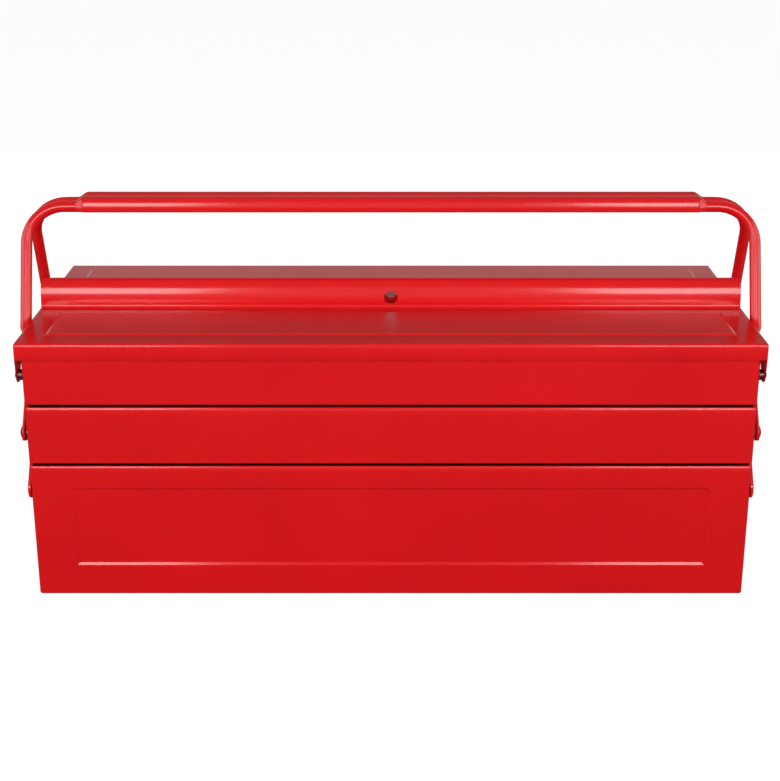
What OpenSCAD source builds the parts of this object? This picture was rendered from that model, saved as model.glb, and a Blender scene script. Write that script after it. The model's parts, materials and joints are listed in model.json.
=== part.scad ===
// Five tray cantilever tool box with two swing handles.
// X runs along the box, the front is -Y, Z is up and the box stands on Z = 0.
// Each module draws the front copy, and rear_side() mirrors it for the rear.

/* [Box] */
// Length of every tray over its end walls
box_l = 530; // [360:10:700]
// Depth of the closed box over its front and rear walls
box_d = 210; // [200:2:280]
// Thickness of the folded sheet
sheet_t = 0.9; // [0.7:0.1:1.4]
// Outer radius of the upright folded corners
corner_r = 2.5; // [2:0.5:5]

/* [Trays] */
// Height of the base tray
base_h = 104; // [90:2:180]
// Height of each middle tray
middle_h = 43.6; // [38:0.2:70]
// Height of each upper tray
upper_h = 45.1; // [42:0.1:60]
// Gap between one level and the next when closed
level_gap = 2.2; // [2:0.2:5]
// Gap between the front and the rear half trays
centre_gap = 0.8; // [0.6:0.2:3]
// Depth of the hem that is folded into each rim
hem_h = 8; // [5:1:10]
// Thickness of the folded hem inside the wall
hem_t = 0.9; // [0.7:0.1:1.4]

/* [Pressed panels] */
// Distance from the ends to the panel pressed into the base's long walls
panel_end = 30; // [20:2:60]
// Height of the panel's lower edge above the floor
panel_low = 24; // [14:1:34]
// Distance from the base's rim down to the panel
panel_top = 17; // [12:1:30]
// Depth of the pressed panel
panel_depth = 1.2; // [0.6:0.1:2]
// Distance from the lid's ends to its raised panel
crown_end = 19; // [12:1:60]
// Distance from the lid's front edge to its raised panel
crown_front = 20; // [12:1:30]
// Distance from the padlock bead to the raised panel
crown_rear = 13; // [6:1:24]
// Height of the lid's raised panel
crown_h = 1; // [0.6:0.1:2]

/* [Lids] */
// Height of the front rim of a lid
rim_h = 12.2; // [11:0.1:17]
// Height of the flange at each end of a lid
flange_h = 9.2; // [6:0.2:11]
// Overhang of a lid's rim past the tray's long wall
lid_over = 2.5; // [2:0.1:4]
// Gap between a closed lid and the rims under it
lid_gap = 1.2; // [1:0.1:2]
// Radius of the hinge ear's tip
ear_r = 5.5; // [5:0.5:8]
// Width of the hinge ear where it leaves the flange
ear_w = 21.5; // [16:0.5:30]
// Distance of the lid's hinge behind the tray's long wall
hinge_in = 5.5; // [5.5:0.1:6]
// Distance of the lid's hinge below the upper tray's rim
hinge_drop = 23.6; // [21:0.1:26]

/* [Padlock bead] */
// Depth of the bead from front to rear
bead_w = 17.4; // [14:0.2:24]
// Height of the bead above the lid
bead_h = 21.4; // [18:0.1:26]
// Distance from each end of the lid to the bead's end
bead_end = 1; // [0.6:0.2:6]
// Diameter of the padlock hole
lock_d = 10.4; // [6:0.2:12]
// Height of the padlock hole's centre above the lid
lock_z = 8; // [6.2:0.1:10]
// Height of the rear lid's upturned lip
lip_h = 18; // [14:0.5:20]

/* [Arms] */
// Lean of the arms from upright when closed
arm_lean = 36; // [33:1:39]
// Width of a flat arm
arm_w = 16; // [13:0.5:18]
// Thickness of a flat arm
arm_t = 2; // [1.5:0.1:3]
// Distance from the long wall to the base's outer pivots
pivot_in = 9; // [9:0.5:14]
// Depth of the base's pivots below its rim
pivot_drop = 20; // [18:0.5:30]
// Height of the middle tray's pivots above its floor
middle_pivot = 22.1; // [16:0.1:26]
// Height of the upper tray's pivots above its floor
upper_pivot = 25.8; // [20:0.2:28]
// Distance between the long and the short arms' pivots
short_pitch = 30; // [26:0.5:34]
// Distance between the handle's and the long arms' pivots
handle_pitch = 21; // [20:0.5:26]
// Distance of the handle's pivots below the long arms' pivots
handle_drop = 5; // [0:0.5:6]

/* [Handles] */
// Diameter of the handle's rod
rod_d = 8.5; // [6:0.5:10]
// Width of the rod where it is flattened into an arm
strap_w = 13; // [12:0.5:16]
// Thickness of the flattened arm
strap_t = 3; // [2:0.1:4]
// Length of the flattened arm past the upper pivot
strap_up = 12; // [11:0.5:16]
// Centre radius of the handle's bends
bend_r = 28; // [14:1:30]
// Height of the rod's centre above the lid
handle_rise = 76.8; // [66:0.2:110]
// Offset of the rod from the flattened arm's inner face
rod_step = 2; // [0.2:0.1:2.4]
// Width of the pressed grip
grip_w = 14; // [12:0.5:20]
// Height of the pressed grip
grip_h = 11.4; // [10:0.2:14]
// Rise of the grip's round top over its sides
grip_dome = 2.8; // [1:0.2:4]
// Distance of the rod's underside below the grip
grip_sink = 1; // [0.4:0.2:2]
// Thickness of the grip's side walls
grip_t = 1; // [0.6:0.1:1.2]
// Distance from the rod's outer ends to the grip
grip_end = 36; // [34:1:60]

/* [Rivets and fits] */
// Diameter of the arms' rivets
rivet_d = 5; // [4:0.5:6]
// Diameter of the arms' rivet heads
head_d = 9; // [8:0.5:11]
// Height of a rivet head
head_h = 1.2; // [0.8:0.1:1.6]
// Diameter of the lid hinge rivets
hinge_d = 4; // [3:0.5:4]
// Diameter of the lid hinge rivets' heads
hinge_head_d = 6; // [5:0.5:7]
// Diameter of the washers behind the arms
washer_d = 11; // [9.5:0.5:13]
// Thickness of those washers
washer_t = 0.3; // [0.2:0.1:0.6]
// Diameter of the bushes that space the handle out
bush_d = 9; // [8:0.5:10]
// Diameter of the bushes that space the lid's ears out
hinge_bush_d = 8; // [6:0.5:8]
// Side clearance between pieces that move past each other
run_gap = 0.3; // [0.2:0.05:0.6]
// Radial clearance between a rivet and the piece that turns on it
pin_gap = 0.05; // [0.02:0.01:0.1]

/* [Hidden] */
red = [0.78, 0.07, 0.09];
round_n = 64;

// Heights of the levels
middle_z = base_h + level_gap;
upper_z = middle_z + middle_h + level_gap;
upper_top = upper_z + upper_h;
lid_under = upper_top + lid_gap;
lid_top = lid_under + sheet_t;

// Layers outwards from the end walls, as distances from the middle of the box
wall_x = box_l / 2;
arm_x = wall_x + washer_t + run_gap;
arm_out = arm_x + arm_t;
lid_out = arm_out + run_gap + max(sheet_t, head_h);
flange_x = lid_out - sheet_t;
strap_x = lid_out + run_gap;
strap_out = strap_x + strap_t;
rod_x = strap_x + rod_step + rod_d / 2;

// Pivots as [y, z] in the front half
base_pivot = [-(box_d / 2 - pivot_in), base_h - pivot_drop];
rise_1 = middle_z + middle_pivot - base_pivot[1];
rise_2 = upper_z + upper_pivot - (middle_z + middle_pivot);
step_1 = [rise_1 * tan(arm_lean), rise_1];
step_2 = [rise_2 * tan(arm_lean), rise_2];
long_0 = base_pivot;
long_1 = long_0 + step_1;
long_2 = long_1 + step_2;
short_0 = base_pivot + [short_pitch, 0];
short_1 = short_0 + step_1;
handle_1 = long_1 - [handle_pitch, handle_drop];
handle_2 = handle_1 + step_2;
hinge = [-(box_d / 2 - hinge_in), upper_top - hinge_drop];

// Handle line, from the end of the flat arm up to the middle of the bar
arm_dir = [sin(arm_lean), cos(arm_lean)];
strap_top = handle_2 + strap_up * arm_dir;
bar = [-(centre_gap / 2 + grip_w / 2), lid_top + handle_rise];
leg_lean = atan2(bar[0] - strap_top[0], bar[1] - strap_top[1]);
leg_l = norm(bar - strap_top);
dome_r = (grip_w * grip_w / 4 + grip_dome * grip_dome) / (2 * grip_dome);

// ---- Helpers ----

module rear_side() mirror([0, 1, 0]) children();

module left_end() mirror([1, 0, 0]) children();

module both_ends() {
    children();
    left_end() children();
}

// Cylinder along X from x0 to x1 at the pivot p
module pin(p, x0, x1, d) {
    translate([x0, p[0], p[1]]) rotate([0, 90, 0])
        cylinder(h = x1 - x0, d = d, $fn = round_n);
}

module ring(p, x0, x1, outer, inner) {
    difference() {
        pin(p, x0, x1, outer);
        pin(p, x0 - 1, x1 + 1, inner);
    }
}

// Outline in Y and Z, given as 2D [y, z], made into a plate from x0 to x1
module plate_x(x0, x1) {
    translate([x0, 0, 0]) rotate([90, 0, 90]) linear_extrude(x1 - x0) children();
}

module rounded_rect(w, d, r) {
    square([w - 2 * r, d], center = true);
    square([w, d - 2 * r], center = true);
    for (x = [-1, 1], y = [-1, 1])
        translate([x * (w / 2 - r), y * (d / 2 - r)]) circle(r, $fn = round_n);
}

// Open tray with a floor, walls and a hem folded into its rim
module tray_shell(y0, y1, z0, h) {
    d = y1 - y0;
    in_l = box_l - 2 * sheet_t;
    in_d = d - 2 * sheet_t;
    in_r = corner_r - sheet_t;
    translate([0, (y0 + y1) / 2, z0]) difference() {
        linear_extrude(h) rounded_rect(box_l, d, corner_r);
        translate([0, 0, sheet_t]) linear_extrude(h - sheet_t - hem_h) rounded_rect(in_l, in_d, in_r);
        translate([0, 0, h - hem_h - 1]) linear_extrude(hem_h + 2)
            square([in_l - 2 * hem_t, in_d - 2 * hem_t], center = true);
    }
}

// Flat bar with round ends from pivot p to pivot q, as a 2D outline
module bar_outline(p, q, w) {
    for (c = [p, q]) translate(c) circle(d = w, $fn = round_n);
    translate(p) rotate(atan2(q[1] - p[1], q[0] - p[0]))
        translate([0, -w / 2]) square([norm(q - p), w]);
}

module hole_outline(p, d) translate(p) circle(d = d, $fn = round_n);

// Rivet through the end wall, holding what lies between the wall and x_out
module rivet(p, x_out, d, head) {
    pin(p, wall_x - sheet_t - head_h, wall_x - sheet_t, head);
    pin(p, wall_x - sheet_t, x_out + run_gap, d);
    translate([x_out + run_gap, p[0], p[1]]) rotate([0, 90, 0]) {
        cylinder(h = head_h / 3, d = head, $fn = round_n);
        translate([0, 0, head_h / 3]) cylinder(h = head_h * 2 / 3, d1 = head, d2 = d, $fn = round_n);
    }
}

module wall_holes(pivots, d) {
    both_ends() for (p = pivots) pin(p, wall_x - 10, wall_x + 10, d);
}

// ---- Base ----

module base_panel(y_out, depth, grow) {
    l = box_l - 2 * panel_end + 2 * grow;
    h = base_h - panel_low - panel_top + 2 * grow;
    translate([-l / 2, y_out, panel_low - grow]) cube([l, depth, h]);
}

module base_tray() color(red) {
    wall_y = -box_d / 2;
    difference() {
        union() {
            tray_shell(-box_d / 2, box_d / 2, 0, base_h);
            base_panel(wall_y + sheet_t / 2, sheet_t / 2 + panel_depth, sheet_t);
            rear_side() base_panel(wall_y + sheet_t / 2, sheet_t / 2 + panel_depth, sheet_t);
        }
        base_panel(wall_y - 1, 1 + panel_depth, 0);
        rear_side() base_panel(wall_y - 1, 1 + panel_depth, 0);
        wall_holes([long_0, short_0], rivet_d);
        rear_side() wall_holes([long_0, short_0], rivet_d);
    }
}

module half_base_rivets() both_ends() {
    for (p = [long_0, short_0]) rivet(p, arm_out, rivet_d, head_d);
}

module base_rivets() color("silver") {
    half_base_rivets();
    rear_side() half_base_rivets();
}

module half_base_washers() both_ends() {
    for (p = [long_0, short_0]) ring(p, wall_x, wall_x + washer_t, washer_d, rivet_d);
}

module base_washers() color("silver") {
    half_base_washers();
    rear_side() half_base_washers();
}

// ---- Arms ----

module long_arm() color(red) plate_x(arm_x, arm_out) difference() {
    union() {
        bar_outline(long_0, long_1, arm_w);
        bar_outline(long_1, long_2, arm_w);
    }
    for (p = [long_0, long_1, long_2]) hole_outline(p, rivet_d + 2 * pin_gap);
}

module short_arm() color(red) plate_x(arm_x, arm_out) difference() {
    bar_outline(short_0, short_1, arm_w);
    for (p = [short_0, short_1]) hole_outline(p, rivet_d + 2 * pin_gap);
}

// ---- Trays ----

module middle_tray() color(red) difference() {
    tray_shell(-box_d / 2, -centre_gap / 2, middle_z, middle_h);
    wall_holes([long_1, short_1, handle_1], rivet_d);
}

module middle_rivets() color("silver") both_ends() {
    for (p = [long_1, short_1]) rivet(p, arm_out, rivet_d, head_d);
    rivet(handle_1, strap_out, rivet_d, head_d);
}

module middle_washers() color("silver") both_ends() {
    for (p = [long_1, short_1]) ring(p, wall_x, wall_x + washer_t, washer_d, rivet_d);
}

module handle_bush(p) both_ends() ring(p, wall_x, strap_x - run_gap, bush_d, rivet_d);

module middle_bushes() color("silver") handle_bush(handle_1);

module upper_tray() color(red) difference() {
    tray_shell(-box_d / 2, -centre_gap / 2, upper_z, upper_h);
    wall_holes([long_2, handle_2], rivet_d);
    wall_holes([hinge], hinge_d);
}

module upper_rivets() color("silver") both_ends() {
    rivet(long_2, arm_out, rivet_d, head_d);
    rivet(handle_2, strap_out, rivet_d, head_d);
}

module upper_washers() color("silver") both_ends() {
    ring(long_2, wall_x, wall_x + washer_t, washer_d, rivet_d);
}

module upper_bushes() color("silver") handle_bush(handle_2);

module hinge_rivets() color("silver") both_ends() rivet(hinge, lid_out, hinge_d, hinge_head_d);

module hinge_bushes() color("silver") both_ends() {
    ring(hinge, wall_x, flange_x - run_gap, hinge_bush_d, hinge_d);
}

// ---- Lids ----

// End flange with its hinge ear
module lid_flange() {
    y_front = -(box_d / 2 + lid_over);
    low = lid_top - flange_h;
    plate_x(flange_x, lid_out) difference() {
        union() {
            polygon([[y_front, lid_top], [y_front, low], [-centre_gap / 2, low], [-centre_gap / 2, lid_top]]);
            polygon([
                [y_front, low + 1],
                [y_front, lid_top - rim_h],
                hinge - [ear_r, 0],
                hinge + [ear_r, 0],
                [y_front + ear_w, low],
                [y_front + ear_w, low + 1]
            ]);
            hole_outline(hinge, 2 * ear_r);
        }
        hole_outline(hinge, hinge_d + 2 * pin_gap);
    }
}

module lid_plate() {
    y_front = -(box_d / 2 + lid_over);
    y_rear = -centre_gap / 2;
    crown_y = y_front + crown_front;
    crown_d = y_rear - bead_w - crown_rear - crown_y;
    translate([-lid_out, y_front, lid_under]) cube([2 * lid_out, y_rear - y_front, sheet_t]);
    translate([-lid_out, y_front, lid_top - rim_h]) cube([2 * lid_out, sheet_t, rim_h]);
    translate([-lid_out + crown_end, crown_y, lid_top - sheet_t / 2])
        cube([2 * (lid_out - crown_end), crown_d, sheet_t / 2 + crown_h]);
    both_ends() lid_flange();
}

module lid() color(red) lid_plate();

// Channel with a round top, standing on the front lid's inner edge
module bead_outline(r, side) {
    translate([0, bead_h - bead_w / 2]) circle(r, $fn = round_n);
    translate([-r, side]) square([2 * r, bead_h - bead_w / 2 - side]);
}

module lid_bead() color(red) difference() {
    y_mid = -(centre_gap / 2 + bead_w / 2);
    half_l = lid_out - bead_end;
    translate([0, y_mid, lid_top]) plate_x(-half_l, half_l) difference() {
        bead_outline(bead_w / 2, 0);
        bead_outline(bead_w / 2 - sheet_t, -1);
    }
    lock_hole();
}

module lock_hole() {
    translate([0, 0, lid_top + lock_z]) rotate([90, 0, 0])
        cylinder(h = 3 * bead_w, d = lock_d, center = true, $fn = round_n);
}

module lid_lip() color(red) difference() {
    half_l = lid_out - bead_end;
    translate([-half_l, centre_gap / 2, lid_top]) cube([2 * half_l, sheet_t, lip_h]);
    lock_hole();
}

// ---- Handles ----

// Places local [x along the box, y down the leg] in the leaning plane of the handle
module handle_plane() {
    translate([0, bar[0], bar[1]]) rotate([-90 - leg_lean, 0, 0]) children();
}

module rod_half() handle_plane() {
    translate([rod_x, bend_r, 0]) rotate([-90, 0, 0])
        cylinder(h = leg_l - bend_r, d = rod_d, $fn = round_n);
    translate([rod_x - bend_r, bend_r, 0]) rotate([0, 0, -90])
        rotate_extrude(angle = 90, $fn = round_n) translate([bend_r, 0]) circle(d = rod_d, $fn = round_n);
    rotate([0, 90, 0]) cylinder(h = rod_x - bend_r, d = rod_d, $fn = round_n);
    translate([rod_x, leg_l, 0]) sphere(d = rod_d, $fn = round_n);
}

module strap() plate_x(strap_x, strap_out) difference() {
    bar_outline(handle_1, strap_top, strap_w);
    for (p = [handle_1, handle_2]) hole_outline(p, rivet_d + 2 * pin_gap);
}

module handle_frame() color(red) both_ends() {
    rod_half();
    strap();
    pin(strap_top, strap_x, rod_x, rod_d + 1);
}

// Channel with a round top that is pressed down over the rod
module grip_outline() difference() {
    intersection() {
        translate([-grip_w / 2, 0]) square([grip_w, grip_h]);
        translate([0, grip_h - dome_r]) circle(dome_r, $fn = 2 * round_n);
    }
    translate([grip_t - grip_w / 2, -1]) square([grip_w - 2 * grip_t, 1 + rod_d - grip_sink]);
}

module handle_grip() color(red) {
    half_l = rod_x - grip_end;
    translate([0, bar[0], bar[1] - rod_d / 2 + grip_sink]) plate_x(-half_l, half_l) grip_outline();
}

// ---- Assembly ----

base_tray();
base_rivets();
base_washers();
left_end() long_arm();  // front_long_arm_left
long_arm();  // front_long_arm_right
rear_side() left_end() long_arm();  // rear_long_arm_left
rear_side() long_arm();  // rear_long_arm_right
left_end() short_arm();  // front_short_arm_left
short_arm();  // front_short_arm_right
rear_side() left_end() short_arm();  // rear_short_arm_left
rear_side() short_arm();  // rear_short_arm_right
middle_tray();  // front_middle_tray
rear_side() middle_tray();  // rear_middle_tray
middle_rivets();  // front_middle_rivets
rear_side() middle_rivets();  // rear_middle_rivets
middle_washers();  // front_middle_washers
rear_side() middle_washers();  // rear_middle_washers
middle_bushes();  // front_middle_bushes
rear_side() middle_bushes();  // rear_middle_bushes
upper_tray();  // front_upper_tray
rear_side() upper_tray();  // rear_upper_tray
upper_rivets();  // front_upper_rivets
rear_side() upper_rivets();  // rear_upper_rivets
upper_washers();  // front_upper_washers
rear_side() upper_washers();  // rear_upper_washers
upper_bushes();  // front_upper_bushes
rear_side() upper_bushes();  // rear_upper_bushes
hinge_rivets();  // front_hinge_rivets
rear_side() hinge_rivets();  // rear_hinge_rivets
hinge_bushes();  // front_hinge_bushes
rear_side() hinge_bushes();  // rear_hinge_bushes
handle_frame();  // front_handle_frame
rear_side() handle_frame();  // rear_handle_frame
handle_grip();  // front_handle_grip
rear_side() handle_grip();  // rear_handle_grip
lid();  // front_lid
rear_side() lid();  // rear_lid
lid_bead();  // front_lid_bead
lid_lip();  // rear_lid_lip
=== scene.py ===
import json
import math

import bmesh
import bpy
from mathutils import Matrix, Vector


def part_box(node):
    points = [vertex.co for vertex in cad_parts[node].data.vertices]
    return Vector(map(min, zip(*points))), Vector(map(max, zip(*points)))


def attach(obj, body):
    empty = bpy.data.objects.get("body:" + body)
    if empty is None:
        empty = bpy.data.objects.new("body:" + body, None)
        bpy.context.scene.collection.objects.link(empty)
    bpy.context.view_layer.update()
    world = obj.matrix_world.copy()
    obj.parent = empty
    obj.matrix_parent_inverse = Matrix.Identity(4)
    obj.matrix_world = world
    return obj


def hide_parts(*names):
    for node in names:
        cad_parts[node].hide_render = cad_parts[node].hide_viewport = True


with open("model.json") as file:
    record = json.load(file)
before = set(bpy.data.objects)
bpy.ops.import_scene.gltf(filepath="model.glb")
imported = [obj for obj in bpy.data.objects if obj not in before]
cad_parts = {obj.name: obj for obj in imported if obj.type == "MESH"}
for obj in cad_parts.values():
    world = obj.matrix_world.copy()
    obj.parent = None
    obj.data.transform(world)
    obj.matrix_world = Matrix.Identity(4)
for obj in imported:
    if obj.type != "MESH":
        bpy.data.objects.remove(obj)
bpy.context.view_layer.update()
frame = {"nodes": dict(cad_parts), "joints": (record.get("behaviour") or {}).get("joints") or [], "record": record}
print("frame loaded:", len(frame["nodes"]), "nodes")

mm = 0.001
sides = ("front", "rear")


paintLook = {
    "colour": (0.68, 0.005, 0.007, 1),      # fresh red enamel
    "deepColour": (0.62, 0.004, 0.006, 1),  # where the coat lies a little thicker
    "patchScale": 9.0,                      # soft unevenness of the coat, per metre
    "patchDetail": 3.0,
    "peelScale": 620.0,                     # orange peel, per metre
    "peelDepth": 0.000012,
    "waveScale": 14.0,                      # gentle unevenness of the rolled sheet
    "waveDepth": 0.00006,
    "reliefDetail": 1.0,
    "roughness": 0.34,
    "roughSpread": 0.04,
    "roughScale": 36.0,
    "roughDetail": 2.0,
    "gloss": 0.03,
    "coat": 1.0,
    "coatRoughness": 0.14,
}

# the pressed panels of the lids have a softer sheen
satinLook = {
    **paintLook,
    "gloss": 0.5,
    "coatRoughness": 0.34,
}

# zinc plate made dark: partly a dark zinc finish, partly painted shade for the dim gaps between the lid ears and
# the tray walls
zincAndShadeLook = {
    "colour": (0.16, 0.16, 0.17, 1),
    "darkColour": (0.10, 0.10, 0.11, 1),
    "spangleScale": 700.0,
    "spangleDetail": 2.0,
    "roughness": 0.34,
    "roughSpread": 0.12,
    "grainDepth": 0.00002,
}

# the values between which most of a noise lies
noiseLow, noiseHigh = 0.3, 0.7
# colour sockets of the mix node, whose names are each there more than once
mixFirst, mixSecond, mixResult = 6, 7, 2


def addNode(tree, kind, **inputs):
    node = tree.nodes.new(kind)
    for name, value in inputs.items():
        node.inputs[name].default_value = value
    return node


def noiseNode(tree, coords, scale, detail):
    noise = addNode(tree, "ShaderNodeTexNoise", Scale=scale, Detail=detail, Roughness=0.5)
    tree.links.new(coords.outputs["Object"], noise.inputs["Vector"])
    return noise


def spreadNode(tree, source, low, high):
    limits = {"From Min": noiseLow, "From Max": noiseHigh, "To Min": low, "To Max": high}
    spread = addNode(tree, "ShaderNodeMapRange", **limits)
    tree.links.new(source.outputs["Fac"], spread.inputs["Value"])
    return spread


def bumpNode(tree, source, depth, before=None):
    bump = addNode(tree, "ShaderNodeBump", Strength=1.0, Distance=depth)
    tree.links.new(source.outputs["Fac"], bump.inputs["Height"])
    if before:
        tree.links.new(before.outputs["Normal"], bump.inputs["Normal"])
    return bump


def tintShader(tree, shader, source, first, second):
    mix = tree.nodes.new("ShaderNodeMix")
    mix.data_type = "RGBA"
    mix.inputs[mixFirst].default_value = first
    mix.inputs[mixSecond].default_value = second
    fade = spreadNode(tree, source, 0.0, 1.0)
    tree.links.new(fade.outputs["Result"], mix.inputs["Factor"])
    tree.links.new(mix.outputs[mixResult], shader.inputs["Base Color"])


def roughenShader(tree, shader, source, look):
    low = look["roughness"] - look["roughSpread"]
    high = look["roughness"] + look["roughSpread"]
    rough = spreadNode(tree, source, low, high)
    tree.links.new(rough.outputs["Result"], shader.inputs["Roughness"])


def startMaterial(name):
    mat = bpy.data.materials.new(name)
    mat.use_nodes = True
    tree = mat.node_tree
    return mat, tree, tree.nodes["Principled BSDF"], tree.nodes.new("ShaderNodeTexCoord")


def enamel(name, look):
    mat, tree, shader, coords = startMaterial(name)
    patches = noiseNode(tree, coords, look["patchScale"], look["patchDetail"])
    tintShader(tree, shader, patches, look["colour"], look["deepColour"])
    scuffs = noiseNode(tree, coords, look["roughScale"], look["roughDetail"])
    roughenShader(tree, shader, scuffs, look)
    waves = noiseNode(tree, coords, look["waveScale"], look["reliefDetail"])
    wave = bumpNode(tree, waves, look["waveDepth"])
    peels = noiseNode(tree, coords, look["peelScale"], look["reliefDetail"])
    peel = bumpNode(tree, peels, look["peelDepth"], wave)
    tree.links.new(peel.outputs["Normal"], shader.inputs["Normal"])
    tree.links.new(peel.outputs["Normal"], shader.inputs["Coat Normal"])
    shader.inputs["Specular IOR Level"].default_value = look["gloss"]
    shader.inputs["Coat Weight"].default_value = look["coat"]
    shader.inputs["Coat Roughness"].default_value = look["coatRoughness"]
    return mat


def zinc(name, look):
    mat, tree, shader, coords = startMaterial(name)
    spangle = noiseNode(tree, coords, look["spangleScale"], look["spangleDetail"])
    tintShader(tree, shader, spangle, look["colour"], look["darkColour"])
    roughenShader(tree, shader, spangle, look)
    grain = bumpNode(tree, spangle, look["grainDepth"])
    tree.links.new(grain.outputs["Normal"], shader.inputs["Normal"])
    shader.inputs["Metallic"].default_value = 1.0
    return mat


redPaint = enamel("red enamel", paintLook)
satinPaint = enamel("red enamel, satin", satinLook)
zincAndShadeSteel = zinc("dark zinc plate and painted shade", zincAndShadeLook)
print("materials made")


hair = 1e-5                        # places closer than this are the same
weld = 1e-6                        # vertices closer than this are merged
flush = 0.99                       # least agreement of a flat face's normal with a direction
slopeLow, slopeHigh = 0.5, 0.999   # limits of the same for the slopes round a panel
crease = 0.05                      # radians, edges bent less than this are left alone
shadingWeight = 80                 # how far large faces decide the shading of their edges
upward = Vector((0, 0, 1))


def makePiece(name, bm, body, replaced, material):
    mesh = bpy.data.meshes.new(name)
    bm.to_mesh(mesh)
    bm.free()
    for poly in mesh.polygons:
        poly.use_smooth = True
    mesh.materials.append(material)
    piece = bpy.data.objects.new(name, mesh)
    bpy.context.scene.collection.objects.link(piece)
    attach(piece, body)
    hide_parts(*replaced)
    return piece


def addSolidify(piece, thickness):
    wall = piece.modifiers.new("sheet", "SOLIDIFY")
    wall.thickness = thickness
    wall.offset = -1
    wall.use_even_offset = True


def addEvenShading(piece):
    even = piece.modifiers.new("even shading", "WEIGHTED_NORMAL")
    even.keep_sharp = False
    even.weight = shadingWeight


def boxMesh(low, high):
    bm = bmesh.new()
    size = high - low
    place = Matrix.Translation((low + high) / 2) @ Matrix.Diagonal((*size, 1))
    bmesh.ops.create_cube(bm, size=1, matrix=place)
    return bm


def near(a, b, slack=hair):
    return abs(a - b) < slack


def quarterTurn(steps, start=0):
    return [math.pi / 2 * i / steps for i in range(start, steps + 1)]


def vertsOf(geom):
    return [g for g in geom if isinstance(g, bmesh.types.BMVert)]


def regionOf(faces):
    edges = dict.fromkeys(e for f in faces for e in f.edges)
    verts = dict.fromkeys(v for f in faces for v in f.verts)
    return [*faces, *edges, *verts]


def growEdges(bm, edges):
    grown = bmesh.ops.extrude_edge_only(bm, edges=edges)["geom"]
    rim = [g for g in grown if isinstance(g, bmesh.types.BMEdge) and g.is_boundary]
    return rim, vertsOf(grown)


def bevelEdges(bm, edges, radius, segments):
    bmesh.ops.bevel(bm, geom=edges, affect="EDGES", offset=radius, offset_type="OFFSET",
                    segments=segments, profile=0.5, material=-1, clamp_overlap=True)


def facesFacing(bm, direction):
    return [f for f in bm.faces if f.normal.dot(direction) > flush]


def largestFacing(bm, direction):
    return max(facesFacing(bm, direction), key=lambda f: f.calc_area())


def panelCuts(low, high, axes):
    cuts = []
    for axis in axes:
        normal = Vector((0, 0, 0))
        normal[axis] = 1
        cuts += [(high, normal), (low, -normal)]
    return cuts


# presses a panel between the cuts and returns the edges of its bends
def pressPanel(bm, direction, cuts, slope, depth):
    bm.normal_update()
    for point, normal in cuts:
        geom = regionOf(facesFacing(bm, direction))
        bmesh.ops.bisect_plane(bm, geom=geom, plane_co=point, plane_no=normal)
        bm.normal_update()
    inside = [f for f in facesFacing(bm, direction)
              if all((f.calc_center_median() - p).dot(n) < 0 for p, n in cuts)]
    bmesh.ops.inset_region(bm, faces=inside, thickness=slope, depth=depth, use_even_offset=True)
    bm.normal_update()
    bends = {}
    for f in bm.faces:
        if slopeLow < f.normal.dot(direction) < slopeHigh:
            bends.update(dict.fromkeys(e for e in f.edges if e.calc_face_angle(0) > crease))
    return list(bends)


trayShape = {
    "cornerRadius": 2.5 * mm,
    "cornerSteps": 5,
    "floorFold": 1.0 * mm,
    "foldSteps": 4,
    "sheet": 0.9 * mm,
    "rollDown": 6 * mm,           # the wall leans in gently to its folded rim
    "rollIn": 1.4 * mm,
    "rollSteps": 12,
    "rollEdge": 0.5 * mm,
    "edgeSteps": 3,
    "hemDepth": 8 * mm,
    "hemWidth": 1.8 * mm,
    "floorFillet": 1.2 * mm,
    "filletSteps": 3,
    "panelEnd": 30 * mm,
    "panelLow": 24 * mm,
    "panelTop": 17 * mm,
    "panelDepth": 1.2 * mm,
    "panelSlope": 2.6 * mm,
    "panelSoften": 1.2 * mm,
    "softenSteps": 3,
}


# inset and height of each ring, over the rim and down inside to the floor
def rimProfile(shape, low, high):
    down, across, edge = shape["rollDown"], shape["rollIn"], shape["rollEdge"]
    sheet, hem, fillet = shape["sheet"], shape["hemWidth"], shape["floorFillet"]
    hemLow = high - shape["hemDepth"]
    floor = low + sheet
    rings = [(across * (1 - math.cos(angle)), high - down * (1 - math.sin(angle)))
             for angle in quarterTurn(shape["rollSteps"], 1)]
    rings += [(across + (hem - across) * math.sin(angle), high - edge * (1 - math.cos(angle)))
              for angle in quarterTurn(shape["edgeSteps"], 1)]
    rings += [(hem, hemLow), (sheet, hemLow), (sheet, floor + fillet)]
    rings += [(sheet + fillet * (1 - math.cos(angle)), floor + fillet * (1 - math.sin(angle)))
              for angle in quarterTurn(shape["filletSteps"], 1)]
    return rings


def insetRim(verts, centre, half, radius, inset, height):
    for v in verts:
        flat = Vector((v.co.x - centre.x, v.co.y - centre.y))
        core = Vector((max(-half.x + radius, min(half.x - radius, flat.x)),
                       max(-half.y + radius, min(half.y - radius, flat.y))))
        away = (flat - core).normalized()
        flat = core + away * (radius - inset)
        v.co = Vector((centre.x + flat.x, centre.y + flat.y, height))


def pressWalls(bm, shape, low, high):
    inLow = Vector((low.x + shape["panelEnd"], 0, low.z + shape["panelLow"]))
    inHigh = Vector((high.x - shape["panelEnd"], 0, high.z - shape["panelTop"]))
    bends = []
    for turn in (-1, 1):
        bends += pressPanel(bm, Vector((0, turn, 0)), panelCuts(inLow, inHigh, (0, 2)),
                            shape["panelSlope"], -shape["panelDepth"])
    bevelEdges(bm, list(dict.fromkeys(bends)), shape["panelSoften"], shape["softenSteps"])


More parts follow.
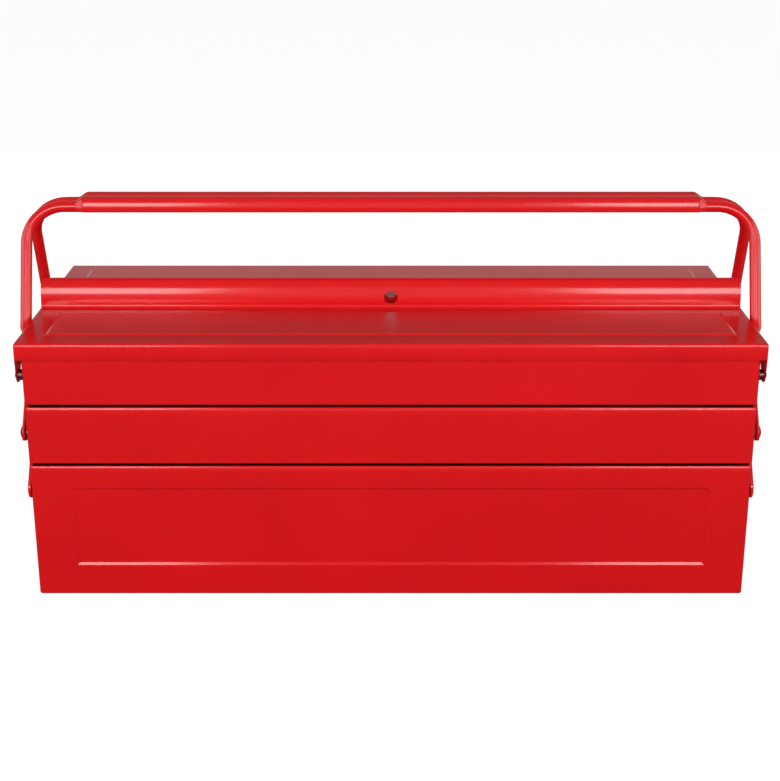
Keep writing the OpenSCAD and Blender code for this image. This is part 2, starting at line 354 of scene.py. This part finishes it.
def sheetTray(node, body, panels):
    shape = trayShape
    low, high = (Vector(p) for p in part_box(node))
    bm = boxMesh(low, Vector((high.x, high.y, high.z - shape["rollDown"])))
    corners = [e for e in bm.edges if not near(e.verts[0].co.z, e.verts[1].co.z)]
    bevelEdges(bm, corners, shape["cornerRadius"], shape["cornerSteps"])
    around = [e for e in bm.edges if all(near(v.co.z, low.z) for v in e.verts)]
    bevelEdges(bm, around, shape["floorFold"], shape["foldSteps"])
    bm.normal_update()
    bmesh.ops.delete(bm, geom=[largestFacing(bm, upward)], context="FACES_ONLY")
    if panels:
        pressWalls(bm, shape, low, high)
    centre = (low + high) / 2
    half = (high - low) / 2
    loop = [e for e in bm.edges if e.is_boundary]
    for inset, height in rimProfile(shape, low.z, high.z):
        loop, verts = growEdges(bm, loop)
        insetRim(verts, centre, half, shape["cornerRadius"], inset, height)
    bmesh.ops.contextual_create(bm, geom=loop)
    bmesh.ops.recalc_face_normals(bm, faces=bm.faces)
    piece = makePiece(node + "_skin", bm, body, [node], redPaint)
    addEvenShading(piece)


sheetTray("base_tray", "base", True)
for side in sides:
    sheetTray(side + "_middle_tray", side + "_middle", False)
    sheetTray(side + "_upper_tray", side + "_upper", False)
print("trays made")


lidShape = {
    "rim": 12.2 * mm,
    "flange": 9.2 * mm,
    "crown": 1.0 * mm,
    "crownEnd": 19 * mm,
    "crownFront": 20 * mm,
    "crownRear": 31 * mm,
    "crownSlope": 1.5 * mm,
    "crownSoften": 0.5 * mm,
    "softenSteps": 3,
    "satinDown": 0.2 * mm,       # faces less than this below the crown are satin
    "fold": 1.6 * mm,
    "foldSteps": 6,
    "leanDown": 5 * mm,          # height over which the rim leans in to its fold
    "leanRadius": 14 * mm,
    "leanSteps": 5,
    "leanBack": 10 * mm,
    "sheet": 0.9 * mm,
    "earWidth": 21.5 * mm,
    "earRadius": 5.5 * mm,
    "earSteps": 8,
    "earTurn": 0.97,             # share of a quarter turn, so that the tip keeps an edge
    "earRoot": 5 * mm,           # an ear grows from an edge longer than this
    "earSlack": 0.1 * mm,
    "hingeIn": 8 * mm,           # hinge behind the rim's face
}


def addEar(bm, endX, yFront, shape, tipLow):
    yRear = yFront + shape["earWidth"]
    edges = [e for e in bm.edges if e.is_boundary and e.calc_length() > shape["earRoot"]
             and near(e.verts[0].co.z, e.verts[1].co.z)
             and all(near(v.co.x, endX, shape["earSlack"]) for v in e.verts)
             and all(v.co.y < yRear + hair for v in e.verts)]
    radius = shape["earRadius"]
    hingeY = yFront + shape["hingeIn"]
    hingeZ = tipLow + radius
    for angle in quarterTurn(shape["earSteps"]):
        angle *= shape["earTurn"]
        halfWidth = radius * math.cos(angle)
        height = hingeZ - radius * math.sin(angle)
        rim, _ = growEdges(bm, edges)
        edges = [e for e in rim if not near(e.verts[0].co.y, e.verts[1].co.y)][:1]
        first, last = sorted(edges[0].verts, key=lambda v: v.co.y)
        first.co = Vector((endX, hingeY - halfWidth, height))
        last.co = Vector((endX, hingeY + halfWidth, height))


def leanRim(bm, top, yFront, shape):
    down, back = shape["leanDown"], shape["leanBack"]
    for i in range(shape["leanSteps"]):
        height = top - down + (down - shape["fold"]) * i / shape["leanSteps"]
        geom = bm.verts[:] + bm.edges[:] + bm.faces[:]
        bmesh.ops.bisect_plane(bm, geom=geom, plane_co=(0, 0, height), plane_no=upward)
    for v in bm.verts:
        rise = v.co.z - (top - down)
        behind = v.co.y - yFront
        if rise > 0 and behind < back:
            v.co.y += rise ** 2 / (2 * shape["leanRadius"]) * (1 - behind / back)


def foldLid(shape, low, high, top, yFront, yRear):
    bm = boxMesh(Vector((low.x, yFront, top - shape["rim"])), Vector((high.x, yRear, top)))
    folds = []
    for e in bm.edges:
        a, b = (v.co for v in e.verts)
        atRear = near(a.y, yRear) and near(b.y, yRear)
        alongTop = near(a.z, top) and near(b.z, top) and not atRear
        corner = near(a.y, yFront) and near(b.y, yFront) and not near(a.z, b.z)
        if alongTop or corner:
            folds.append(e)
    bevelEdges(bm, folds, shape["fold"], shape["foldSteps"])
    bm.normal_update()
    for direction in (-upward, Vector((0, 1, 0))):
        bmesh.ops.delete(bm, geom=[largestFacing(bm, direction)], context="FACES_ONLY")
    return bm


# cuts the end flanges short of the rim behind the hinge ears
def trimFlanges(bm, shape, top, yFront):
    flangeLow = top - shape["flange"]
    earRear = yFront + shape["earWidth"]
    for point, normal in (((0, 0, flangeLow), (0, 0, 1)), ((0, earRear, 0), (0, 1, 0))):
        ends = [f for f in bm.faces if abs(f.normal.x) > flush]
        bmesh.ops.bisect_plane(bm, geom=regionOf(ends), plane_co=point, plane_no=normal)
    waste = []
    for f in bm.faces:
        mid = f.calc_center_median()
        if abs(f.normal.x) > flush and mid.z < flangeLow and mid.y > earRear:
            waste.append(f)
    bmesh.ops.delete(bm, geom=waste, context="FACES")


def pressCrown(bm, shape, low, high, top, yFront, yRear):
    inLow = Vector((low.x + shape["crownEnd"], yFront + shape["crownFront"], 0))
    inHigh = Vector((high.x - shape["crownEnd"], yRear - shape["crownRear"], 0))
    bends = pressPanel(bm, upward, panelCuts(inLow, inHigh, (0, 1)),
                       shape["crownSlope"], shape["crown"])
    bends = [e for e in bends if min(v.co.z for v in e.verts) > top - hair]
    bevelEdges(bm, bends, shape["crownSoften"], shape["softenSteps"])


def lidShell(side):
    shape = lidShape
    low, high = (Vector(p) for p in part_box(side + "_lid"))
    top = high.z - shape["crown"]
    # the lid is made as the front one, with its rim at the lower y, and turned for the rear
    yFront = -max(abs(low.y), abs(high.y))
    yRear = yFront + high.y - low.y
    bm = foldLid(shape, low, high, top, yFront, yRear)
    trimFlanges(bm, shape, top, yFront)
    for endX in (low.x, high.x):
        addEar(bm, endX, yFront, shape, low.z)
    pressCrown(bm, shape, low, high, top, yFront, yRear)
    leanRim(bm, top, yFront, shape)
    bmesh.ops.recalc_face_normals(bm, faces=bm.faces)
    if largestFacing(bm, upward).calc_center_median().z < top - shape["sheet"]:
        bmesh.ops.reverse_faces(bm, faces=bm.faces)
    if side == "rear":
        bmesh.ops.scale(bm, vec=(1, -1, 1), verts=bm.verts)
        bmesh.ops.reverse_faces(bm, faces=bm.faces)
    piece = makePiece(side + "_lid_skin", bm, side + "_lid_body", [side + "_lid"],
                      redPaint)
    piece.data.materials.append(satinPaint)
    for poly in piece.data.polygons:
        poly.material_index = int(poly.center.z > high.z - shape["satinDown"])
    addSolidify(piece, shape["sheet"])
    addEvenShading(piece)


for side in sides:
    lidShell(side)
print("lids made")


beadShape = {
    "sheet": 0.9 * mm,
    "footRadius": 2.4 * mm,
    "footSteps": 5,
    "archSteps": 28,
    "lipFold": 0.4 * mm,
    "lipSteps": 3,
    "lockDiameter": 10.4 * mm,
    "lockHeight": 8 * mm,
    "lockSteps": 40,
    "lockReach": 20 * mm,        # length of the tool that cuts the hole, past both walls
}


def lockCutter(middle):
    radius = beadShape["lockDiameter"] / 2
    bm = bmesh.new()
    bmesh.ops.create_cone(bm, cap_ends=True, segments=beadShape["lockSteps"], radius1=radius,
                          radius2=radius, depth=beadShape["lockReach"])
    sideways = Matrix.Rotation(math.pi / 2, 3, "X")
    bmesh.ops.rotate(bm, verts=bm.verts, cent=(0, 0, 0), matrix=sideways)
    bmesh.ops.translate(bm, verts=bm.verts, vec=middle)
    mesh = bpy.data.meshes.new("lock cutter")
    bm.to_mesh(mesh)
    bm.free()
    cutter = bpy.data.objects.new("lock cutter", mesh)
    bpy.context.scene.collection.objects.link(cutter)
    return cutter


def cutLock(piece, low, high):
    height = low.z + beadShape["lockHeight"]
    cutter = lockCutter(Vector((0, (low.y + high.y) / 2, height)))
    cut = piece.modifiers.new("padlock hole", "BOOLEAN")
    cut.operation = "DIFFERENCE"
    cut.solver = "EXACT"
    cut.object = cutter
    bpy.context.view_layer.update()
    graph = bpy.context.evaluated_depsgraph_get()
    finished = bpy.data.meshes.new_from_object(piece.evaluated_get(graph))
    piece.modifiers.clear()
    piece.data = finished
    bpy.data.objects.remove(cutter)


def beadSkin():
    shape = beadShape
    low, high = (Vector(p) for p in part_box("front_lid_bead"))
    radius = (high.y - low.y) / 2
    middleY = (high.y + low.y) / 2
    foot = shape["footRadius"]
    bm = bmesh.new()
    start = bm.verts.new((low.x, low.y - foot, low.z))
    wire = bmesh.ops.spin(bm, geom=[start], cent=(low.x, low.y - foot, low.z + foot),
                          axis=(1, 0, 0), angle=math.pi / 2, steps=shape["footSteps"])
    before = set(bm.verts)
    wire = bmesh.ops.spin(bm, geom=vertsOf(wire["geom_last"]), cent=(low.x, middleY, low.z + foot),
                          axis=(-1, 0, 0), angle=math.pi, steps=shape["archSteps"])
    arch = [v for v in bm.verts if v not in before]
    stretch = (high.z - low.z - foot) / radius
    bmesh.ops.scale(bm, vec=(1, 1, stretch), verts=arch,
                    space=Matrix.Translation((0, 0, -low.z - foot)))
    end = bmesh.ops.extrude_vert_indiv(bm, verts=vertsOf(wire["geom_last"]))["verts"]
    end[0].co = Vector((low.x, high.y, low.z))
    bmesh.ops.remove_doubles(bm, verts=bm.verts, dist=weld)
    _, moved = growEdges(bm, bm.edges[:])
    bmesh.ops.translate(bm, verts=moved, vec=(high.x - low.x, 0, 0))
    bmesh.ops.recalc_face_normals(bm, faces=bm.faces)
    topFace = max(bm.faces, key=lambda f: f.calc_center_median().z)
    if topFace.normal.z < 0:
        bmesh.ops.reverse_faces(bm, faces=bm.faces)
    piece = makePiece("front_lid_bead_skin", bm, "front_lid_body", ["front_lid_bead"],
                      redPaint)
    addSolidify(piece, shape["sheet"])
    cutLock(piece, low, high)
    addEvenShading(piece)


def lipSkin():
    low, high = (Vector(p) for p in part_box("rear_lid_lip"))
    bm = boxMesh(low, high)
    topEdges = [e for e in bm.edges if all(near(v.co.z, high.z) for v in e.verts)]
    bevelEdges(bm, topEdges, beadShape["lipFold"], beadShape["lipSteps"])
    piece = makePiece("rear_lid_lip_skin", bm, "rear_lid_body", ["rear_lid_lip"],
                      redPaint)
    cutLock(piece, low, high)
    addEvenShading(piece)


beadSkin()
lipSkin()
print("bead and lip made")


handleShape = {
    "rodRadius": 4.25 * mm,
    "bendRadius": 28 * mm,
    "bendSteps": 16,
    "ringSteps": 28,
    "round": 2,                  # boxiness of a round ring
    "strapSquare": 3.2,          # boxiness of the flattened end
    "strapHalf": 6.5 * mm,
    "strapThin": 1.5 * mm,       # half of its thickness
    "strapUp": 12 * mm,          # flat arm past its upper pivot
    "pressAbove": 15 * mm,       # length of rod that is pressed flat above the flat arm
    "pressBelow": 6 * mm,
    "pressSteps": 16,
    "flatFrom": 0.3,             # share of that length after which the rod gets thinner
    "tipSteps": 8,
    "tipTurn": 0.98,             # share of a quarter turn, so that the tip keeps an edge
}

gripShape = {
    "dome": 2.8 * mm,            # rise of the round top over the sides
    "swell": 16 * mm,            # radius of the outer side's swell
    "swellAt": 0.25,             # its fullest height, as a share of the side
    "faceSteps": 6,
    "domeSteps": 14,
    "edge": 0.9 * mm,
    "edgeSteps": 3,
    "edgeAngle": math.radians(22),   # sharper edges than this are rounded
    "taper": 8 * mm,             # length over which the ends close onto the rod
    "taperSteps": 10,
    "taperOnto": 0.98,           # how far the ends close, as a share of the rod's radius
}


def jointPlace(name):
    for joint in frame["joints"]:
        if joint["name"] == name:
            return Vector(joint["pos_m"])
    raise KeyError(name)


def smoothStep(t):
    t = max(0.0, min(1.0, t))
    return t * t * (3 - 2 * t)


def ringShape(steps, halfU, halfV, square):
    points = []
    for i in range(steps):
        angle = 2 * math.pi * i / steps
        c, s = math.cos(angle), math.sin(angle)
        u = math.copysign(abs(c) ** (2 / square), c) * halfU
        v = math.copysign(abs(s) ** (2 / square), s) * halfV
        points.append((u, v))
    return points


def placeRing(verts, station):
    centre, outward, across, halfOut, halfAcross, square = station
    ring = ringShape(handleShape["ringSteps"], halfAcross, halfOut, square)
    for v, (pu, pv) in zip(verts, ring):
        v.co = centre + across * pu + outward * pv


# a station is centre, outward direction, direction across, half sizes in both and boxiness
def rodStations(side):
    shape = handleShape
    high = Vector(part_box(side + "_handle_frame")[1])
    gripLow, gripHigh = (Vector(p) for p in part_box(side + "_handle_grip"))
    lower = jointPlace(side + "_handle_turn")
    upper = jointPlace(side + "_upper_turn")
    strapDir = (upper - lower).normalized()
    strapTop = upper + strapDir * shape["strapUp"]
    r, thin, wide = shape["rodRadius"], shape["strapThin"], shape["strapHalf"]
    bend = shape["bendRadius"]
    plain, square = shape["round"], shape["strapSquare"]
    bar = Vector((0, (gripLow.y + gripHigh.y) / 2, high.z - r))
    rodX = high.x - r
    frameVerts = frame["nodes"][side + "_handle_frame"].data.vertices
    strapX = min(abs(v.co.x) for v in frameVerts if v.co.z < lower.z) + thin
    legDown = (strapTop - bar).normalized()
    out = Vector((1, 0, 0))
    planeNormal = (-legDown).cross(out)
    stations = [(bar, -legDown, planeNormal, r, r, plain)]
    hub = bar + out * (rodX - bend) + legDown * bend
    for angle in quarterTurn(shape["bendSteps"]):
        outward = out * math.sin(angle) - legDown * math.cos(angle)
        stations.append((hub + outward * bend, outward, planeNormal, r, r, plain))
    above, below = shape["pressAbove"], shape["pressBelow"]
    for i in range(shape["pressSteps"] + 1):
        t = i / shape["pressSteps"]
        run = (above + below) * t - above
        centre = strapTop + (legDown * run if run < 0 else -strapDir * run)
        flat = smoothStep((t - shape["flatFrom"]) / (1 - shape["flatFrom"]))
        centre.x = rodX + (strapX - rodX) * flat
        heading = (-legDown).lerp(strapDir, smoothStep(t)).normalized()
        stations.append((centre, out, heading.cross(out).normalized(), r + (thin - r) * flat,
                         r + (wide - r) * smoothStep(t),
                         plain + (square - plain) * smoothStep(2 * t)))
    across = strapDir.cross(out).normalized()
    tip = Vector((strapX, lower.y, lower.z))
    for angle in quarterTurn(shape["tipSteps"]):
        angle *= shape["tipTurn"]
        centre = tip - strapDir * wide * math.sin(angle)
        stations.append((centre, out, across, thin, wide * math.cos(angle), square))
    return stations


def rodSkin(side):
    stations = rodStations(side)
    bm = bmesh.new()
    ring = bmesh.ops.create_circle(bm, cap_ends=False, segments=handleShape["ringSteps"],
                                   radius=handleShape["rodRadius"])["verts"]
    placeRing(ring, stations[0])
    edges = bm.edges[:]
    for station in stations[1:]:
        edges, ring = growEdges(bm, edges)
        placeRing(ring, station)
    bmesh.ops.contextual_create(bm, geom=edges)
    geom = bm.verts[:] + bm.edges[:] + bm.faces[:]
    bmesh.ops.mirror(bm, geom=geom, axis="X", merge_dist=hair)
    bmesh.ops.remove_doubles(bm, verts=bm.verts, dist=weld)
    bmesh.ops.recalc_face_normals(bm, faces=bm.faces)
    piece = makePiece(side + "_handle_rod_skin", bm, side + "_handle", [side + "_handle_frame"],
                      redPaint)
    addEvenShading(piece)


# the outer side is at negative first coordinate and the underside at zero
def gripOutline(half, tall):
    shape = gripShape
    side = tall - shape["dome"]
    domeRadius = (half ** 2 + shape["dome"] ** 2) / (2 * shape["dome"])
    points = []
    for i in range(shape["faceSteps"] + 1):
        up = side * i / shape["faceSteps"]
        away = up - side * shape["swellAt"]
        bulge = math.sqrt(shape["swell"] ** 2 - away ** 2)
        points.append((-half + shape["swell"] - bulge, up))
    start = points[-1][0]
    for i in range(1, shape["domeSteps"] + 1):
        across = start + (half - start) * i / shape["domeSteps"]
        points.append((across, tall - domeRadius + math.sqrt(domeRadius ** 2 - across ** 2)))
    points.append((half, 0))
    return points


# closes one open end of the grip onto its rod
def taperGrip(bm, end, full, rodY, rodZ, lowest):
    shape = gripShape
    reach = handleShape["rodRadius"] * shape["taperOnto"]
    loop = [e for e in bm.edges if e.is_boundary and e.verts[0].co.x * end > 0]
    before = 0
    for i in range(1, shape["taperSteps"] + 1):
        t = i / shape["taperSteps"]
        share = (smoothStep(t) - before) / (1 - before)
        before = smoothStep(t)
        loop, verts = growEdges(bm, loop)
        for v in verts:
            away = Vector((0, v.co.y - rodY, v.co.z - rodZ))
            goal = Vector((0, rodY, rodZ)) + away.normalized() * reach
            goal.z = max(goal.z, lowest)
            v.co.y += (goal.y - v.co.y) * share
            v.co.z += (goal.z - v.co.z) * share
            v.co.x = end * (full + shape["taper"] * t)


def gripSkin(side):
    shape = gripShape
    turn = 1 if side == "front" else -1
    low, high = (Vector(p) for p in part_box(side + "_handle_grip"))
    rodHigh = Vector(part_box(side + "_handle_frame")[1])
    middleY = (low.y + high.y) / 2
    full = high.x - shape["taper"]
    bm = bmesh.new()
    verts = [bm.verts.new((-full, middleY + turn * u, low.z + v))
             for u, v in gripOutline((high.y - low.y) / 2, high.z - low.z)]
    outline = bm.faces.new(verts)
    moved = vertsOf(bmesh.ops.extrude_face_region(bm, geom=[outline])["geom"])
    bmesh.ops.translate(bm, verts=moved, vec=(2 * full, 0, 0))
    bmesh.ops.recalc_face_normals(bm, faces=bm.faces)
    folds = [e for e in bm.edges if not near(e.verts[0].co.x, e.verts[1].co.x)
             and e.calc_face_angle(0) > shape["edgeAngle"]]
    bevelEdges(bm, folds, shape["edge"], shape["edgeSteps"])
    bm.normal_update()
    caps = [f for f in bm.faces if abs(f.normal.x) > flush]
    bmesh.ops.delete(bm, geom=caps, context="FACES_ONLY")
    for end in (-1, 1):
        taperGrip(bm, end, full, middleY, rodHigh.z - handleShape["rodRadius"], low.z)
    bmesh.ops.recalc_face_normals(bm, faces=bm.faces)
    piece = makePiece(side + "_handle_grip_skin", bm, side + "_handle", [side + "_handle_grip"],
                      redPaint)
    addEvenShading(piece)


for side in sides:
    rodSkin(side)
    gripSkin(side)
print("handles made")


hardwareShape = {
    "flatAngle": math.radians(1),    # faces bent less than this are joined
    "edgeAngle": math.radians(30),   # sharper edges than this are rounded
    "arm": (0.35 * mm, 2),           # radius and steps of the rounding
    "rivet": (0.3 * mm, 3),
    "washer": (0.08 * mm, 1),
}


def softCopy(node, body, kind, material):
    radius, steps = hardwareShape[kind]
    bm = bmesh.new()
    bm.from_mesh(frame["nodes"][node].data)
    bmesh.ops.remove_doubles(bm, verts=bm.verts, dist=weld)
    bmesh.ops.dissolve_limit(bm, angle_limit=hardwareShape["flatAngle"], verts=bm.verts,
                             edges=bm.edges)
    sharp = [e for e in bm.edges if len(e.link_faces) == 2
             and e.calc_face_angle(0) > hardwareShape["edgeAngle"]]
    bevelEdges(bm, sharp, radius, steps)
    piece = makePiece(node + "_skin", bm, body, [node], material)
    addEvenShading(piece)


for body, nodes in frame["record"]["behaviour"]["bodies"].items():
    for node in nodes:
        if node.endswith(("_left", "_right")):
            softCopy(node, body, "arm", redPaint)
        elif "rivets" in node:
            softCopy(node, body, "rivet", redPaint)
        elif "washers" in node or "bushes" in node:
            # washers and bushes get the dark zinc, whose darkness also paints the shade in the gaps at the lid
            # ears
            softCopy(node, body, "washer", zincAndShadeSteel)
print("arms and rivets made")


studio = {
    "floorHalf": 6.0,
    "floorColour": (0.14, 0.14, 0.14, 1),
    "floorRoughness": 0.9,
    "floorLift": 0.95,           # brightness added where the camera sees the floor
    "worldShown": 1.0,           # white where the camera sees it
    "worldLight": 0.18,
    # brightness in reflections by the height of a direction: backdrop, dark gap, ceiling
    "mirrored": ((0.0, 0.52), (0.262, 0.52), (0.278, 0.04), (0.35, 0.04), (0.55, 0.24)),
    "aim": (0, 0, 0.14),
}

# name: place, size, power, seen in reflections
softboxes = {
    "left front softbox": ((-0.57, -1.65, 0.76), (0.40, 0.54), 5.0, True),
    "right front softbox": ((0.57, -1.65, 0.76), (0.40, 0.54), 5.0, True),
    "left side softbox": ((-1.52, -0.50, 0.58), (1.60, 1.00), 10.0, True),
    "right side softbox": ((1.52, -0.50, 0.58), (1.60, 1.00), 10.0, True),
    "upper front softbox": ((0, -1.65, 0.92), (1.60, 0.50), 16.5, False),
    "rear softbox": ((0, 1.60, 0.42), (2.00, 0.70), 17.0, False),
}

cameraFit = {
    "frameWidth": 780,           # pixels
    "sensor": 36.0,              # millimetres
    "focal": 1488.2,             # pixels
    "pitch": 18.83,              # degrees below level
    "distance": 1.1117,          # metres in front of the box's middle
    "height": 0.5298,            # metres
    "axisX": 390.8,              # pixels, where the optical axis meets the picture
    "axisY": 360.0,
    "middleX": 390.0,            # pixels, the picture's middle
    "middleY": 390.5,
    "nearest": 0.05,             # metres, what the camera can see
    "furthest": 50.0,
}


def makeFloor():
    bm = bmesh.new()
    bmesh.ops.create_grid(bm, x_segments=1, y_segments=1, size=studio["floorHalf"])
    mesh = bpy.data.meshes.new("floor")
    bm.to_mesh(mesh)
    bm.free()
    floor = bpy.data.objects.new("floor", mesh)
    bpy.context.scene.collection.objects.link(floor)
    mat = bpy.data.materials.new("floor")
    mat.use_nodes = True
    tree = mat.node_tree
    shader = tree.nodes["Principled BSDF"]
    shader.inputs["Base Color"].default_value = studio["floorColour"]
    shader.inputs["Roughness"].default_value = studio["floorRoughness"]
    shader.inputs["Specular IOR Level"].default_value = 0.0
    lightPath = tree.nodes.new("ShaderNodeLightPath")
    glow = addNode(tree, "ShaderNodeEmission", Color=(1, 1, 1, 1), Strength=studio["floorLift"])
    both = tree.nodes.new("ShaderNodeAddShader")
    pick = tree.nodes.new("ShaderNodeMixShader")
    tree.links.new(shader.outputs[0], both.inputs[0])
    tree.links.new(glow.outputs[0], both.inputs[1])
    tree.links.new(lightPath.outputs["Is Camera Ray"], pick.inputs[0])
    tree.links.new(shader.outputs[0], pick.inputs[1])
    tree.links.new(both.outputs[0], pick.inputs[2])
    tree.links.new(pick.outputs[0], tree.nodes["Material Output"].inputs["Surface"])
    mesh.materials.append(mat)


def makeWorld():
    world = bpy.data.worlds.new("studio")
    bpy.context.scene.world = world
    world.use_nodes = True
    tree = world.node_tree
    ambient = tree.nodes["Background"]
    ambient.inputs["Color"].default_value = (1, 1, 1, 1)
    ambient.inputs["Strength"].default_value = studio["worldLight"]
    coords = tree.nodes.new("ShaderNodeTexCoord")
    parts = tree.nodes.new("ShaderNodeSeparateXYZ")
    fade = tree.nodes.new("ShaderNodeValToRGB")
    stops = fade.color_ramp.elements
    while len(stops) < len(studio["mirrored"]):
        stops.new(1.0)
    for stop, (height, level) in zip(stops, studio["mirrored"]):
        stop.position = height
        stop.color = (level, level, level, 1)
    mirrored = addNode(tree, "ShaderNodeBackground", Strength=1.0)
    tree.links.new(coords.outputs["Generated"], parts.inputs[0])
    tree.links.new(parts.outputs["Z"], fade.inputs["Fac"])
    tree.links.new(fade.outputs["Color"], mirrored.inputs["Color"])
    shown = addNode(tree, "ShaderNodeBackground", Color=(1, 1, 1, 1), Strength=studio["worldShown"])
    lightPath = tree.nodes.new("ShaderNodeLightPath")
    glossy = tree.nodes.new("ShaderNodeMixShader")
    camera = tree.nodes.new("ShaderNodeMixShader")
    tree.links.new(lightPath.outputs["Is Glossy Ray"], glossy.inputs[0])
    tree.links.new(ambient.outputs[0], glossy.inputs[1])
    tree.links.new(mirrored.outputs[0], glossy.inputs[2])
    tree.links.new(lightPath.outputs["Is Camera Ray"], camera.inputs[0])
    tree.links.new(glossy.outputs[0], camera.inputs[1])
    tree.links.new(shown.outputs[0], camera.inputs[2])
    tree.links.new(camera.outputs[0], tree.nodes["World Output"].inputs["Surface"])


def makeSoftbox(name, place, size, power, mirrored):
    light = bpy.data.lights.new(name, "AREA")
    light.shape = "RECTANGLE"
    light.size, light.size_y = size
    light.energy = power
    lamp = bpy.data.objects.new(name, light)
    lamp.location = place
    towards = Vector(studio["aim"]) - Vector(place)
    lamp.rotation_euler = towards.to_track_quat("-Z", "Y").to_euler()
    lamp.visible_glossy = mirrored
    bpy.context.scene.collection.objects.link(lamp)


def makeCamera():
    fit = cameraFit
    data = bpy.data.cameras.new("camera")
    data.sensor_width = fit["sensor"]
    data.sensor_fit = "HORIZONTAL"
    data.lens = fit["focal"] * fit["sensor"] / fit["frameWidth"]
    data.shift_x = (fit["middleX"] - fit["axisX"]) / fit["frameWidth"]
    data.shift_y = (fit["axisY"] - fit["middleY"]) / fit["frameWidth"]
    data.clip_start = fit["nearest"]
    data.clip_end = fit["furthest"]
    camera = bpy.data.objects.new("camera", data)
    camera.location = (0, -fit["distance"], fit["height"])
    camera.rotation_euler = (math.radians(90 - fit["pitch"]), 0, 0)
    bpy.context.scene.collection.objects.link(camera)
    bpy.context.scene.camera = camera


makeFloor()
makeWorld()
for name, (place, size, power, mirrored) in softboxes.items():
    makeSoftbox(name, place, size, power, mirrored)
makeCamera()
bpy.context.scene.view_settings.view_transform = "Standard"
print("studio made")
